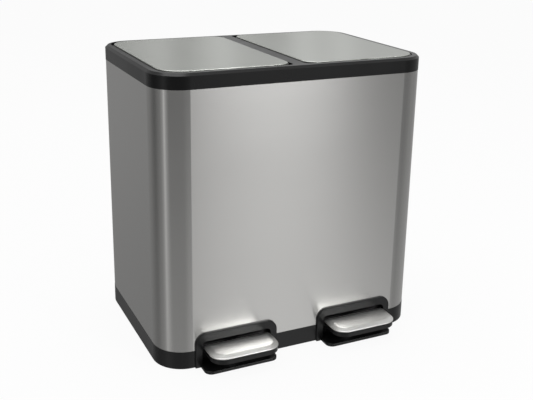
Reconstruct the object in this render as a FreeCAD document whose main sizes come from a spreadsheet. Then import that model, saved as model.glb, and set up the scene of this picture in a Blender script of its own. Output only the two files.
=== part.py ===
import FreeCAD, Part

import math
import os
import re

import Sketcher
from FreeCAD import Vector

# Double recycling bin with two pedals, in millimetres.
# The origin lies on the floor under the middle of the body. +Z is up, and the pedals face -Y.

SIZES = [
    # outer body
    ("body_width", 472, "outside of the base and the rim, left to right"),
    ("body_depth", 328, "outside of the base and the rim, front to back"),
    ("rim_top", 480, "height of the rim's top face"),
    ("corner_radius", 51, "upright corners in plan"),
    ("sheet", 0.8, "thickness of the steel wrap"),
    ("sheet_inset", 0.3, "the wrap stands back from rim and base"),
    ("play", 0.3, "clearance between parts that slide together"),
    # rim collar
    ("rim_height", 24.2, "visible height of the rim"),
    ("rim_bevel", 3.9, "bevel round the rim's top edge"),
    ("rim_skin", 2.5, "top skin and lid wells"),
    ("skirt_depth", 16, "rim skirt inside the wrap"),
    ("skirt_wall", 2.2, "rim skirt inside the wrap"),
    ("border", 12, "rim outside to the lid well"),
    ("back_border", 10, "the same at the hinge side"),
    ("bar_width", 20, "bar between the two lid wells"),
    ("well_depth", 15.5, "rim top to the ledge under the lid"),
    ("well_corner", 9, "well corners at the bar"),
    ("well_back_corner", 32, "well's outer back corner, where the lid turns over"),
    ("trough_depth", 18, "rim top to the hinge trough's floor"),
    ("trough_inner", 5, "lid edge at the bar to the trough's end"),
    ("trough_outer", 19, "lid's outer edge to the trough's end"),
    ("trough_corner", 12, "trough's outer back corner"),
    ("trough_front", 129, "front edge of the hinge trough, as Y"),
    ("ledge_width", 6.5, "ledge round the bucket opening"),
    ("opening_back", 108, "back edge of the bucket opening, as Y"),
    ("opening_radius", 30, "bucket opening corners"),
    # lids
    ("lid_gap", 1.8, "lid to well"),
    ("lid_back_gap", 5.5, "lid to well at the hinge side"),
    ("lid_corner", 22, "lid corners at the bar"),
    ("lid_rise", 1.5, "lid top above the rim top"),
    ("lid_border", 1.1, "plastic edge outside the steel skin"),
    ("skin_sheet", 0.8, "steel skin of a lid"),
    ("skin_fold", 2.3, "height of the skin with its folded edge"),
    ("lid_wall", 2.2, "lid frame wall"),
    ("lid_height", 11.5, "lid top to the frame's lower edge"),
    ("lid_rib", 1.8, "ribs under a lid frame"),
    # hinge and crank
    ("hinge_back", 140, "hinge axis, as Y"),
    ("hinge_drop", 6, "rim top to the hinge axis"),
    ("hinge_pin", 2, "hinge pin radius"),
    ("hinge_boss", 3.8, "radius of lugs and ears about the pin"),
    ("lug_width", 9, "lug on the lid frame"),
    ("ear_width", 4, "ear on the rim"),
    ("ear_back", 4.2, "pin's middle to the back of an ear's upright"),
    ("lug_spread", 60, "lid centre to a lug"),
    ("hinge_play", 0.06, "running clearance round a pin"),
    ("crank_length", 20, "hinge axis to the rod hook"),
    ("crank_drop", 40, "crank below level with the lid shut, in degrees"),
    ("crank_width", 6, "crank arm on the lid frame"),
    ("crank_boss", 5.2, "crank radius about the rod hook"),
    ("crank_slot", 20, "slot in the rim for crank and rod"),
    ("crank_sweep", 4.5, "crank's forward sweep beyond its rest"),
    # push rods
    ("rod_radius", 2.5, "push rod wire"),
    ("rod_bend", 5, "radius of a hook bend, on the wire's middle"),
    ("rod_offset", 15, "upright wire from the crank's middle"),
    ("hook_tail", 4.5, "hook beyond the far face of crank or lever"),
    # levers
    ("lever_pivot", -70, "pivot pin, as Y"),
    ("lever_axis", 15, "pivot pin and rod hook, as Z"),
    ("lever_width", 20, "channel section, across"),
    ("lever_sheet", 1.8, "steel of the channel"),
    ("lever_top", 6, "channel top above the axis"),
    ("lever_low", 6, "channel edge below the axis"),
    ("lever_tail", 12, "channel behind the rod hook"),
    ("hook_slot", 16, "slot in the channel for the rod hook, along Y"),
    ("hook_play", 1.2, "slot above and below the rod hook"),
    ("pivot_pin", 3, "pivot pin radius"),
    ("pivot_head", 5.5, "pivot pin head radius"),
    ("bracket_sheet", 2, "steel of the lever bracket"),
    ("bracket_length", 26, "bracket ear, along Y"),
    ("bracket_flange", 13, "bracket foot under the pan"),
    # pedals
    ("pedal_offset", 110, "middle of a pedal from the middle of the bin"),
    ("pedal_width", 118, "pedal cap, across"),
    ("pedal_front", -218, "pedal's front edge, as Y"),
    ("pedal_back", -163, "pedal's back edge, as Y"),
    ("pedal_top", 40.5, "top of the cap, as Z"),
    ("pedal_depth", 10.5, "height of the cap's edge"),
    ("pedal_radius", 24, "front corners of the cap"),
    ("pedal_heel", 7, "back corners of the cap"),
    ("cap_sheet", 0.8, "steel of the cap"),
    ("cap_bevel_in", 8, "cap bevel, across"),
    ("cap_bevel_down", 3, "cap bevel, down"),
    ("cap_round", 1.5, "rounding where the bevel meets the edge"),
    ("carrier_wall", 2.4, "pad carrier walls and ribs"),
    ("carrier_floor", 4.2, "pad carrier under the cap"),
    ("carrier_drop", 3.4, "carrier edge below the cap"),
    ("blade_back", -165, "the lever turns level here, as Y"),
    # pedal surrounds
    ("surround_width", 144, "arched frame, across"),
    ("surround_top", 59, "arched frame, as Z"),
    ("surround_radius", 19, "arched frame, outer corners"),
    ("surround_proud", 3, "frame in front of the body"),
    ("arch_width", 121, "opening, across"),
    ("arch_top", 45, "opening, as Z"),
    ("arch_radius", 8, "opening's upper corners"),
    ("neck_margin", 5, "frame overlap on the steel"),
    ("neck_depth", 13, "neck behind the body's face"),
    ("recess_wall", 2, "wall at the back of the recess"),
    ("lever_gate", 30, "gate for the lever in that wall, as Z"),
    ("tongue_width", 126, "floor tongue, across"),
    ("tongue_front", -194.5, "floor tongue, as Y"),
    ("tongue_thick", 5, "floor tongue"),
    ("tongue_radius", 12, "floor tongue's front corners"),
    # base tray
    ("band_height", 30.5, "visible height of the base band"),
    ("band_wall", 3.2, "base band"),
    ("flange_height", 14, "locating flange above the band"),
    ("flange_wall", 2.4, "locating flange"),
    ("pan_top", 44, "floor pan, as Z"),
    ("pan_thick", 2.5, "floor pan"),
    ("pan_rib", 1.8, "ribs under the pan"),
    ("pan_rib_depth", 9, "ribs under the pan"),
    ("rod_slot_width", 46, "slot in the pan for lever and rod, across"),
    ("rod_slot_front", 80, "front of that slot, as Y"),
    ("rod_slot_back", 144, "back of that slot, as Y"),
    ("foot_radius", 13, "rubber foot"),
    ("foot_height", 5, "rubber foot"),
    ("foot_recess", 3, "foot sunk into its boss"),
    ("foot_inset", 42, "foot from the outside of the body"),
    ("boss_wall", 2.4, "boss round a foot"),
    # buckets
    ("bucket_wall", 2, "bucket walls"),
    ("bucket_play", 1.5, "bucket rim to the opening"),
    ("bucket_taper", 8, "bucket narrows by this on each side"),
    ("bucket_lip", 4, "rolled rim, outwards"),
    ("bucket_lip_depth", 7, "rolled rim, down"),
    ("bucket_below", 18, "rim top down to the bucket's rim"),
    ("hand_hole_width", 92, "hand hole, along Y"),
    ("hand_hole_height", 24, "hand hole, upright"),
    ("hand_hole_drop", 26, "bucket rim to the hand hole's middle"),
    # small parts
    ("bumper_margin", 0.6, "lid bumper to the edges of the ledge"),
    ("bumper_gap", 0.3, "bumper to a shut lid"),
    ("screw_head", 3.6, "screw head radius"),
    ("screw_head_height", 2, "screw head"),
    ("seam_width", 9, "lap seam at the back of the wrap"),
    ("seam_rise", 0.6, "lap seam at the back of the wrap"),
]

# The two halves of the bin: name and sign of X.
SIDES = [("left", -1), ("right", 1)]

QUARTER = math.pi / 2

doc = FreeCAD.newDocument("recycling_bin")
sheet = doc.addObject("Spreadsheet::Sheet", "Sizes")


def fill_sheet():
    """Write each driving size into its own cell, with its name and a note beside it."""
    for row, (alias, size, note) in enumerate(SIZES, start=1):
        sheet.set(f"A{row}", alias)
        sheet.set(f"B{row}", str(size))
        sheet.set(f"C{row}", note)
        sheet.setAlias(f"B{row}", alias)
    doc.recompute()


def expression(text):
    """Turn names of sizes in a formula into references to their cells."""
    return re.sub(r"[a-z_]+", lambda word: NAMED.get(word.group(), word.group()), str(text))


def value(text):
    """The present value of a formula of sizes."""
    return float(sheet.evalExpression(expression(text)))


NAMED = {alias: f"Sizes.{alias}" for alias, _, _ in SIZES}

# Formulas that several parts share.
HALF_WIDTH = "body_width / 2"
HALF_DEPTH = "body_depth / 2"
RIM_LOW = "rim_top - rim_height"
WRAP_HALF_WIDTH = f"( {HALF_WIDTH} - sheet_inset )"
WRAP_HALF_DEPTH = f"( {HALF_DEPTH} - sheet_inset )"
WRAP_RADIUS = "( corner_radius - sheet_inset )"
INNER_HALF_WIDTH = f"( {WRAP_HALF_WIDTH} - sheet - play )"
INNER_HALF_DEPTH = f"( {WRAP_HALF_DEPTH} - sheet - play )"
INNER_RADIUS = f"( {WRAP_RADIUS} - sheet - play )"
LEDGE = "( rim_top - well_depth )"
WELL_IN = "( bar_width / 2 )"
WELL_OUT = f"( {HALF_WIDTH} - border )"
WELL_FRONT = f"( - {HALF_DEPTH} + border )"
WELL_BACK = f"( {HALF_DEPTH} - back_border )"
WELL_RADIUS = "( corner_radius - border )"
LID_TOP = "( rim_top + lid_rise )"
LID_LOW = f"( {LID_TOP} - lid_height )"
LID_IN = f"( {WELL_IN} + lid_gap )"
LID_OUT = f"( {WELL_OUT} - lid_gap )"
LID_FRONT = f"( {WELL_FRONT} + lid_gap )"
LID_BACK = f"( {WELL_BACK} - lid_back_gap )"
LID_RADIUS = f"( {WELL_RADIUS} - lid_gap )"
LID_MIDDLE = f"( ( {LID_IN} + {LID_OUT} ) / 2 )"
LID_FIELD = f"( {LID_TOP} - skin_sheet )"
LID_UNDER = f"( {LID_FIELD} - lid_wall )"
OPEN_IN = f"( {WELL_IN} + ledge_width )"
OPEN_OUT = f"( {WELL_OUT} - ledge_width )"
OPEN_FRONT = f"( {WELL_FRONT} + ledge_width )"
BUCKET_MIDDLE = f"( ( {OPEN_IN} + {OPEN_OUT} ) / 2 )"
BUCKET_CENTRE = f"( ( {OPEN_FRONT} + opening_back ) / 2 )"
BUCKET_HALF_WIDTH = f"( ( {OPEN_OUT} - {OPEN_IN} ) / 2 - bucket_play )"
BUCKET_HALF_DEPTH = f"( ( opening_back - {OPEN_FRONT} ) / 2 - bucket_play )"
BUCKET_TOP = "( rim_top - bucket_below )"
BUCKET_RADIUS = "( opening_radius - bucket_play )"
CRANK_BACK = "( hinge_back - crank_length * cos(crank_drop) )"
HINGE_HEIGHT = "( rim_top - hinge_drop )"
CRANK_HEIGHT = f"( {HINGE_HEIGHT} - crank_length * sin(crank_drop) )"
SURROUND_FACE = f"( {HALF_DEPTH} + surround_proud )"
NECK_WIDTH = "( surround_width - 2 * neck_margin )"
NECK_TOP = "( surround_top - neck_margin )"
NECK_RADIUS = "( surround_radius - neck_margin )"
PAN_LOW = "( pan_top - pan_thick )"
LEVER_TOP = "( lever_axis + lever_top )"
BLADE_TOP = "( pedal_top - cap_sheet - carrier_floor )"


# --- sketches -------------------------------------------------------------------------------


def new_body(label):
    """An empty body whose label is the node's name."""
    body = doc.addObject("PartDesign::Body", label)
    body.Label = label
    return body


def new_sketch(body, plane, offset="0"):
    """A sketch on one of the body's own origin planes, moved along the plane's normal."""
    sketch = body.newObject("Sketcher::SketchObject", "Sketch")
    support = next(f for f in body.Origin.OriginFeatures if f.Role == plane)
    sketch.AttachmentSupport = [(support, "")]
    sketch.MapMode = "FlatFace"
    sketch.setExpression("AttachmentOffset.Base.z", expression(offset))
    return sketch


def constrain(sketch, kind, *where, size):
    """Add one dimension, bound to a formula of sizes."""
    index = sketch.addConstraint(Sketcher.Constraint(kind, *where, value(size)))
    sketch.setExpression(f"Constraints[{index}]", expression(size))


def polygon(sketch, points):
    """A closed outline of straight lines, each corner given as two formulas."""
    first = sketch.GeometryCount
    corners = [Vector(value(x), value(y), 0) for x, y in points]
    count = len(corners)
    for index in range(count):
        line = Part.LineSegment(corners[index], corners[(index + 1) % count])
        sketch.addGeometry(line, False)
    for index in range(count):
        following = first + (index + 1) % count
        sketch.addConstraint(Sketcher.Constraint("Coincident", first + index, 2, following, 1))
    for index, (x, y) in enumerate(points):
        constrain(sketch, "DistanceX", -1, 1, first + index, 1, size=x)
        constrain(sketch, "DistanceY", -1, 1, first + index, 1, size=y)


def rectangle(sketch, x_low, x_high, y_low, y_high):
    """A closed rectangle from its four sides."""
    polygon(sketch, [(x_low, y_low), (x_high, y_low), (x_high, y_high), (x_low, y_high)])


def rounded(sketch, x_low, x_high, y_low, y_high, radii):
    """A rectangle with round corners: low-low, high-low, high-high and low-high."""
    first = sketch.GeometryCount
    left, right, low, high = [value(side) for side in (x_low, x_high, y_low, y_high)]
    radius = [value(size) for size in radii]
    centres = [
        (left + radius[0], low + radius[0]),
        (right - radius[1], low + radius[1]),
        (right - radius[2], high - radius[2]),
        (left + radius[3], high - radius[3]),
    ]
    for index, (x, y) in enumerate(centres):
        start = (index + 2) * QUARTER
        circle = Part.Circle(Vector(x, y, 0), Vector(0, 0, 1), radius[index])
        sketch.addGeometry(Part.ArcOfCircle(circle, start, start + QUARTER), False)
    for index in range(4):
        start = sketch.getPoint(first + index, 2)
        end = sketch.getPoint(first + (index + 1) % 4, 1)
        sketch.addGeometry(Part.LineSegment(start, end), False)
    for index in range(4):
        line = first + 4 + index
        following = first + (index + 1) % 4
        direction = "Horizontal" if index % 2 == 0 else "Vertical"
        sketch.addConstraint(Sketcher.Constraint("Tangent", first + index, 2, line, 1))
        sketch.addConstraint(Sketcher.Constraint("Tangent", line, 2, following, 1))
        sketch.addConstraint(Sketcher.Constraint(direction, line))
        constrain(sketch, "Radius", first + index, size=radii[index])
    sides = [("DistanceY", y_low), ("DistanceX", x_high), ("DistanceY", y_high), ("DistanceX", x_low)]
    for index, (kind, side) in enumerate(sides):
        constrain(sketch, kind, -1, 1, first + 4 + index, 1, size=side)


def circle(sketch, x, y, radius):
    """A full circle, placed from the origin."""
    index = sketch.addGeometry(
        Part.Circle(Vector(value(x), value(y), 0), Vector(0, 0, 1), value(radius)), False
    )
    constrain(sketch, "DistanceX", -1, 1, index, 3, size=x)
    constrain(sketch, "DistanceY", -1, 1, index, 3, size=y)
    constrain(sketch, "Radius", index, size=radius)


def plan_outline(sketch, half_width, half_depth, radius):
    """The bin's rounded plan, centred on the origin."""
    rounded(sketch, f"- {half_width}", half_width, f"- {half_depth}", half_depth, [radius] * 4)


# --- features -------------------------------------------------------------------------------


def pad(body, sketch, length, both=False, downward=False):
    """Raise a sketch into a solid, along its normal unless told otherwise."""
    feature = body.newObject("PartDesign::Pad", "Pad")
    feature.Profile = sketch
    feature.setExpression("Length", expression(length))
    feature.Midplane = both
    feature.Reversed = downward
    doc.recompute()
    return feature


def pocket(body, sketch, length, both=False, upward=False):
    """Cut a sketch out of the solid, against its normal unless told otherwise."""
    before = body.Shape.Volume
    feature = body.newObject("PartDesign::Pocket", "Pocket")
    feature.Profile = sketch
    feature.setExpression("Length", expression(length))
    feature.Midplane = both
    feature.Reversed = upward
    doc.recompute()
    if body.Shape.Volume >= before - 1e-6:
        raise RuntimeError(f"{body.Label}: {feature.Name} cuts nothing")
    return feature


def chosen_edges(feature, test):
    """Names of the edges of a feature that pass a test."""
    names = []
    for index, edge in enumerate(feature.Shape.Edges, start=1):
        if test(edge):
            names.append(f"Edge{index}")
    if not names:
        raise RuntimeError(f"{feature.Name}: no edge passes the test")
    return names


def fillet(body, radius, test):
    """Round the edges of the body's last feature that pass a test."""
    base = body.Tip
    feature = body.newObject("PartDesign::Fillet", "Fillet")
    feature.Base = (base, chosen_edges(base, test))
    feature.setExpression("Radius", expression(radius))
    doc.recompute()
    return feature


def chamfer(body, size, test):
    """Bevel the edges of the body's last feature that pass a test."""
    base = body.Tip
    feature = body.newObject("PartDesign::Chamfer", "Chamfer")
    feature.Base = (base, chosen_edges(base, test))
    feature.setExpression("Size", expression(size))
    doc.recompute()
    return feature


def at_height(edge, height):
    """True if an edge lies in the level plane at a height."""
    box = edge.BoundBox
    return abs(box.ZMin - height) < 1e-4 and abs(box.ZMax - height) < 1e-4


def place(body, x="0", y="0", z="0"):
    """Bind the body's place to sizes."""
    for axis, formula in (("x", x), ("y", y), ("z", z)):
        body.setExpression(f"Placement.Base.{axis}", expression(formula))


def mirrored_sides(sign, inner, outer):
    """Low and high X of something between an inner and an outer distance on one half of the bin."""
    if sign > 0:
        return inner, outer
    return f"- {outer}", f"- {inner}"


def side_radii(sign, inner, outer):
    """Corner radii for a rounded outline on one half of the bin."""
    if sign > 0:
        return [inner, outer, outer, inner]
    return [outer, inner, inner, outer]


# --- body and base --------------------------------------------------------------------------


def pedal_cutouts(body, low, half_width, top, radius, depth):
    """Cut the two round-topped openings for the pedal surrounds through the front wall."""
    for _, sign in SIDES:
        sketch = new_sketch(body, "XZ_Plane", f"{HALF_DEPTH} + 1")
        middle = f"{sign} * pedal_offset"
        left = f"{middle} - {half_width}"
        right = f"{middle} + {half_width}"
        rounded(sketch, left, right, f"{low} - 2 * {radius}", top, [radius] * 4)
        pocket(body, sketch, f"{depth} + 1")


def make_wrap():
    """The steel wrap: one sheet, closed by a lap seam at the back."""
    body = new_body("body_wrap")
    ring = new_sketch(body, "XY_Plane", "band_height")
    plan_outline(ring, WRAP_HALF_WIDTH, WRAP_HALF_DEPTH, WRAP_RADIUS)
    inner = [f"( {half} - sheet )" for half in (WRAP_HALF_WIDTH, WRAP_HALF_DEPTH, WRAP_RADIUS)]
    plan_outline(ring, *inner)
    pad(body, ring, f"{RIM_LOW} - band_height")
    seam = new_sketch(body, "XY_Plane", "band_height")
    rectangle(
        seam,
        "- seam_width / 2",
        "seam_width / 2",
        f"{WRAP_HALF_DEPTH} - sheet / 2",
        f"{WRAP_HALF_DEPTH} + seam_rise",
    )
    pad(body, seam, f"{RIM_LOW} - band_height")
    pedal_cutouts(
        body,
        "band_height",
        f"( {NECK_WIDTH} / 2 + play )",
        f"{NECK_TOP} + play",
        f"( {NECK_RADIUS} + play )",
        "10",
    )
    return body


def make_base():
    """The base tray: outer band, locating flange, floor pan, foot bosses and ribs."""
    body = new_body("base_tray")
    inner_half_width = f"( {HALF_WIDTH} - band_wall )"
    inner_half_depth = f"( {HALF_DEPTH} - band_wall )"
    band = new_sketch(body, "XY_Plane")
    plan_outline(band, HALF_WIDTH, HALF_DEPTH, "corner_radius")
    plan_outline(band, inner_half_width, inner_half_depth, "( corner_radius - band_wall )")
    pad(body, band, "band_height")
    flange = new_sketch(body, "XY_Plane", "band_height - band_wall")
    plan_outline(flange, INNER_HALF_WIDTH, INNER_HALF_DEPTH, INNER_RADIUS)
    inner = [f"( {half} - flange_wall )" for half in (INNER_HALF_WIDTH, INNER_HALF_DEPTH, INNER_RADIUS)]
    plan_outline(flange, *inner)
    pad(body, flange, "band_wall + flange_height")
    fillet(body, "rim_bevel / 3", lambda edge: at_height(edge, 0) and outer_plan_edge(edge))
    pan = new_sketch(body, "XY_Plane", PAN_LOW)
    plan_outline(pan, *[f"( {half} - 1 )" for half in (INNER_HALF_WIDTH, INNER_HALF_DEPTH, INNER_RADIUS)])
    pad(body, pan, "pan_thick")
    add_pan_ribs(body)
    add_foot_bosses(body)
    cut_rod_slots(body)
    pedal_cutouts(
        body,
        "0",
        f"( {NECK_WIDTH} / 2 + play )",
        f"{NECK_TOP} + play",
        f"( {NECK_RADIUS} + play )",
        "neck_depth + play",
    )
    return body


def outer_plan_edge(edge):
    """True if an edge runs round the outside of the body's plan."""
    half_width = value(HALF_WIDTH)
    half_depth = value(HALF_DEPTH)
    radius = value("corner_radius")
    middle = edge.valueAt((edge.FirstParameter + edge.LastParameter) / 2)
    x = abs(middle.x) - (half_width - radius)
    y = abs(middle.y) - (half_depth - radius)
    if x > 0 and y > 0:
        return abs(math.hypot(x, y) - radius) < 1e-3
    return abs(max(x, y) - radius) < 1e-3


def add_pan_ribs(body):
    """Two long ribs beside each lever and one cross rib at the middle stiffen the pan."""
    ribs = new_sketch(body, "XY_Plane", f"{PAN_LOW} - pan_rib_depth")
    rib_end = f"( {INNER_HALF_DEPTH} - neck_depth - 4 )"
    for _, sign in SIDES:
        for offset in ("- 32", "32"):
            middle = f"{sign} * pedal_offset + {offset}"
            left = f"{middle} - pan_rib / 2"
            right = f"{middle} + pan_rib / 2"
            rectangle(ribs, left, right, f"- {rib_end}", rib_end)
    pad(body, ribs, "pan_rib_depth + 0.5")


def foot_places():
    """The four feet, as formulas of X and Y."""
    x = f"( {HALF_WIDTH} - foot_inset )"
    y = f"( {HALF_DEPTH} - foot_inset )"
    return [(f"{sx} * {x}", f"{sy} * {y}") for sx in (-1, 1) for sy in (-1, 1)]


def add_foot_bosses(body):
    """A hollow boss under the pan holds each rubber foot."""
    low = "foot_height - foot_recess"
    bosses = new_sketch(body, "XY_Plane", low)
    for x, y in foot_places():
        circle(bosses, x, y, "foot_radius + play + boss_wall")
    pad(body, bosses, f"{PAN_LOW} + 0.5 - ( {low} )")
    recesses = new_sketch(body, "XY_Plane", low)
    for x, y in foot_places():
        circle(recesses, x, y, "foot_radius + play")
    pocket(body, recesses, "foot_recess", upward=True)


def cut_rod_slots(body):
    """A slot at the back of the pan lets each lever tail and rod rise."""
    slots = new_sketch(body, "XY_Plane", "pan_top + 1")
    for _, sign in SIDES:
        middle = f"{sign} * pedal_offset"
        rectangle(
            slots,
            f"{middle} - rod_slot_width / 2",
            f"{middle} + rod_slot_width / 2",
            "rod_slot_front",
            "rod_slot_back",
        )
    pocket(body, slots, "pan_thick + 2")


def make_feet():
    """Four rubber feet, flush with the lower edge of the band."""
    body = new_body("rubber_feet")
    sketch = new_sketch(body, "XY_Plane")
    for x, y in foot_places():
        circle(sketch, x, y, "foot_radius")
    pad(body, sketch, "foot_height")
    return body


def make_surround(side, sign):
    """The arched frame round a pedal, its neck through the body and its floor tongue."""
    body = new_body(f"pedal_surround_{side}")
    tongue = new_sketch(body, "XY_Plane")
    rounded(
        tongue,
        "- tongue_width / 2",
        "tongue_width / 2",
        "tongue_front",
        f"- {HALF_DEPTH} - 0.5",
        ["tongue_radius", "tongue_radius", "1", "1"],
    )
    pad(body, tongue, "tongue_thick")
    fillet(body, "tongue_thick / 3", lambda edge: tongue_edge(edge))
    frame = new_sketch(body, "XZ_Plane", HALF_DEPTH)
    arch_shape(frame, "surround_width / 2", "surround_top", "surround_radius")
    pad(body, frame, "surround_proud")
    fillet(body, "surround_proud / 2", lambda edge: frame_edge(edge))
    neck = new_sketch(body, "XZ_Plane", HALF_DEPTH)
    arch_shape(neck, f"{NECK_WIDTH} / 2", NECK_TOP, NECK_RADIUS)
    pad(body, neck, "neck_depth", downward=True)
    hole = new_sketch(body, "XZ_Plane", f"{SURROUND_FACE} + 1")
    arch_shape(hole, "arch_width / 2", "arch_top", "arch_radius", sole="tongue_thick")
    pocket(body, hole, "surround_proud + 1 + neck_depth - recess_wall")
    gate = new_sketch(body, "XZ_Plane", HALF_DEPTH)
    gate_half = "( lever_width / 2 + 3 * play )"
    rectangle(gate, f"- {gate_half}", gate_half, "tongue_thick", "lever_gate")
    pocket(body, gate, "neck_depth + 1")
    place(body, x=f"{sign} * pedal_offset")
    return body


def arch_shape(sketch, half_width, top, radius, sole="0"):
    """A low arch: level sole, straight legs, round shoulders."""
    first = sketch.GeometryCount
    half = value(half_width)
    high = value(top)
    size = value(radius)
    low = value(sole)
    for x, start in ((half - size, 0), (size - half, QUARTER)):
        circle_of_corner = Part.Circle(Vector(x, high - size, 0), Vector(0, 0, 1), size)
        sketch.addGeometry(Part.ArcOfCircle(circle_of_corner, start, start + QUARTER), False)
    points = [
        (sketch.getPoint(first, 2), sketch.getPoint(first + 1, 1)),
        (sketch.getPoint(first + 1, 2), Vector(-half, low, 0)),
        (Vector(-half, low, 0), Vector(half, low, 0)),
        (Vector(half, low, 0), sketch.getPoint(first, 1)),
    ]
    for start, end in points:
        sketch.addGeometry(Part.LineSegment(start, end), False)
    top_line, left_leg, base, right_leg = range(first + 2, first + 6)
    sketch.addConstraint(Sketcher.Constraint("Tangent", first, 2, top_line, 1))
    sketch.addConstraint(Sketcher.Constraint("Tangent", top_line, 2, first + 1, 1))
    sketch.addConstraint(Sketcher.Constraint("Tangent", first + 1, 2, left_leg, 1))
    sketch.addConstraint(Sketcher.Constraint("Coincident", left_leg, 2, base, 1))
    sketch.addConstraint(Sketcher.Constraint("Coincident", base, 2, right_leg, 1))
    sketch.addConstraint(Sketcher.Constraint("Tangent", right_leg, 2, first, 1))
    sketch.addConstraint(Sketcher.Constraint("Horizontal", top_line))
    sketch.addConstraint(Sketcher.Constraint("Vertical", left_leg))
    sketch.addConstraint(Sketcher.Constraint("Vertical", right_leg))
    constrain(sketch, "Radius", first, size=radius)
    constrain(sketch, "Radius", first + 1, size=radius)
    constrain(sketch, "DistanceY", -1, 1, top_line, 1, size=top)
    constrain(sketch, "DistanceX", -1, 1, base, 1, size=f"- {half_width}")
    constrain(sketch, "DistanceX", -1, 1, base, 2, size=half_width)
    constrain(sketch, "DistanceY", -1, 1, base, 1, size=sole)
    constrain(sketch, "DistanceY", -1, 1, base, 2, size=sole)


def frame_edge(edge):
    """True for the outer edges of an arched frame's front face, down to the floor."""
    box = edge.BoundBox
    front = -value(SURROUND_FACE)
    in_face = abs(box.YMin - front) < 1e-4 and abs(box.YMax - front) < 1e-4
    outside = max(-box.XMin, box.XMax) > value("surround_width / 2") - 1
    return in_face and box.ZMax > 1 and (outside or box.ZMin > value("arch_top") + 1)


def tongue_edge(edge):
    """True for the upper edges of the floor tongue in front of the frame."""
    box = edge.BoundBox
    front = -value(SURROUND_FACE)
    return at_height(edge, value("tongue_thick")) and box.YMax < front + 1e-3 and box.YMin < front - 1


# --- rim ------------------------------------------------------------------------------------


def make_collar():
    """The rim: two lid wells, bucket openings, hinge trough, ears and a skirt in the wrap."""
    body = new_body("rim_collar")
    block = new_sketch(body, "XY_Plane", RIM_LOW)
    plan_outline(block, HALF_WIDTH, HALF_DEPTH, "corner_radius")
    pad(body, block, "rim_height")
    chamfer(body, "rim_bevel", lambda edge: at_height(edge, value("rim_top")))
    skirt = new_sketch(body, "XY_Plane", f"{RIM_LOW} - skirt_depth")
    plan_outline(skirt, INNER_HALF_WIDTH, INNER_HALF_DEPTH, INNER_RADIUS)
    pad(body, skirt, "skirt_depth + 1")
    cut_skirt(body)
    for _, sign in SIDES:
        cut_well(body, sign)
    cut_under_rim(body)
    for _, sign in SIDES:
        add_ears(body, sign)
    return body


def well_outline(sketch, sign, grow):
    """A lid well's outline, grown outwards by a formula."""
    left, right = mirrored_sides(sign, f"( {WELL_IN} - {grow} )", f"( {WELL_OUT} + {grow} )")
    inner = f"( well_corner + {grow} )"
    front_radii = [inner, f"( {WELL_RADIUS} + {grow} )"][::sign]
    back_radii = [f"( well_back_corner + {grow} )", inner][::sign]
    radii = front_radii + back_radii
    rounded(sketch, left, right, f"{WELL_FRONT} - {grow}", f"{WELL_BACK} + {grow}", radii)


def opening_outline(sketch, sign, grow):
    """A bucket opening's outline, grown outwards by a formula."""
    left, right = mirrored_sides(sign, f"( {OPEN_IN} - {grow} )", f"( {OPEN_OUT} + {grow} )")
    radii = [f"( opening_radius + {grow} )"] * 4
    rounded(sketch, left, right, f"{OPEN_FRONT} - {grow}", f"opening_back + {grow}", radii)


def cut_skirt(body):
    """Hollow the skirt from below, up to the ledge's underside."""
    sketch = new_sketch(body, "XY_Plane", f"{RIM_LOW} - skirt_depth - 1")
    inner = [f"( {half} - skirt_wall )" for half in (INNER_HALF_WIDTH, INNER_HALF_DEPTH, INNER_RADIUS)]
    plan_outline(sketch, *inner)
    pocket(body, sketch, "skirt_depth + 1", upward=True)


def cut_well(body, sign):
    """Sink one lid well, its hinge trough, its bucket opening and its crank slot."""
    well = new_sketch(body, "XY_Plane", "rim_top + 1")
    well_outline(well, sign, "0")
    pocket(body, well, "well_depth + 1")
    trough = new_sketch(body, "XY_Plane", "rim_top + 1")
    left, right = mirrored_sides(sign, f"( {LID_IN} + trough_inner )", f"( {LID_OUT} - trough_outer )")
    back_radii = ["trough_corner", "well_corner"]
    radii = ["trough_corner / 4"] * 2 + back_radii[::sign]
    rounded(trough, left, right, "trough_front", WELL_BACK, radii)
    pocket(body, trough, "trough_depth + 1")
    opening = new_sketch(body, "XY_Plane", "rim_top + 1")
    opening_outline(opening, sign, "0")
    pocket(body, opening, "rim_height + 2")
    slot = new_sketch(body, "XY_Plane", "rim_top + 1")
    middle = f"{sign} * pedal_offset"
    rectangle(
        slot,
        f"{middle} - crank_slot",
        f"{middle} + crank_slot / 2",
        f"{CRANK_BACK} - crank_boss - crank_sweep",
        "hinge_back + 4",
    )
    pocket(body, slot, "rim_height + 2")


def cut_under_rim(body):
    """Hollow the rim from below, round the two wells and under the bar between them."""
    sketch = new_sketch(body, "XY_Plane", f"{RIM_LOW} - 1")
    inset = "( play + sheet + sheet_inset + skirt_wall )"
    half_width = f"( {HALF_WIDTH} - {inset} )"
    half_depth = f"( {HALF_DEPTH} - {inset} )"
    plan_outline(sketch, half_width, half_depth, f"( corner_radius - {inset} )")
    for _, sign in SIDES:
        well_outline(sketch, sign, "rim_skin")
    pocket(body, sketch, "rim_height + 1 - rim_skin", upward=True)


def lug_places(sign):
    """The middles of a lid's two hinge lugs, as formulas of X."""
    middle = f"{sign} * {LID_MIDDLE}"
    return [f"{middle} - lug_spread", f"{middle} + lug_spread"]


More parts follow.
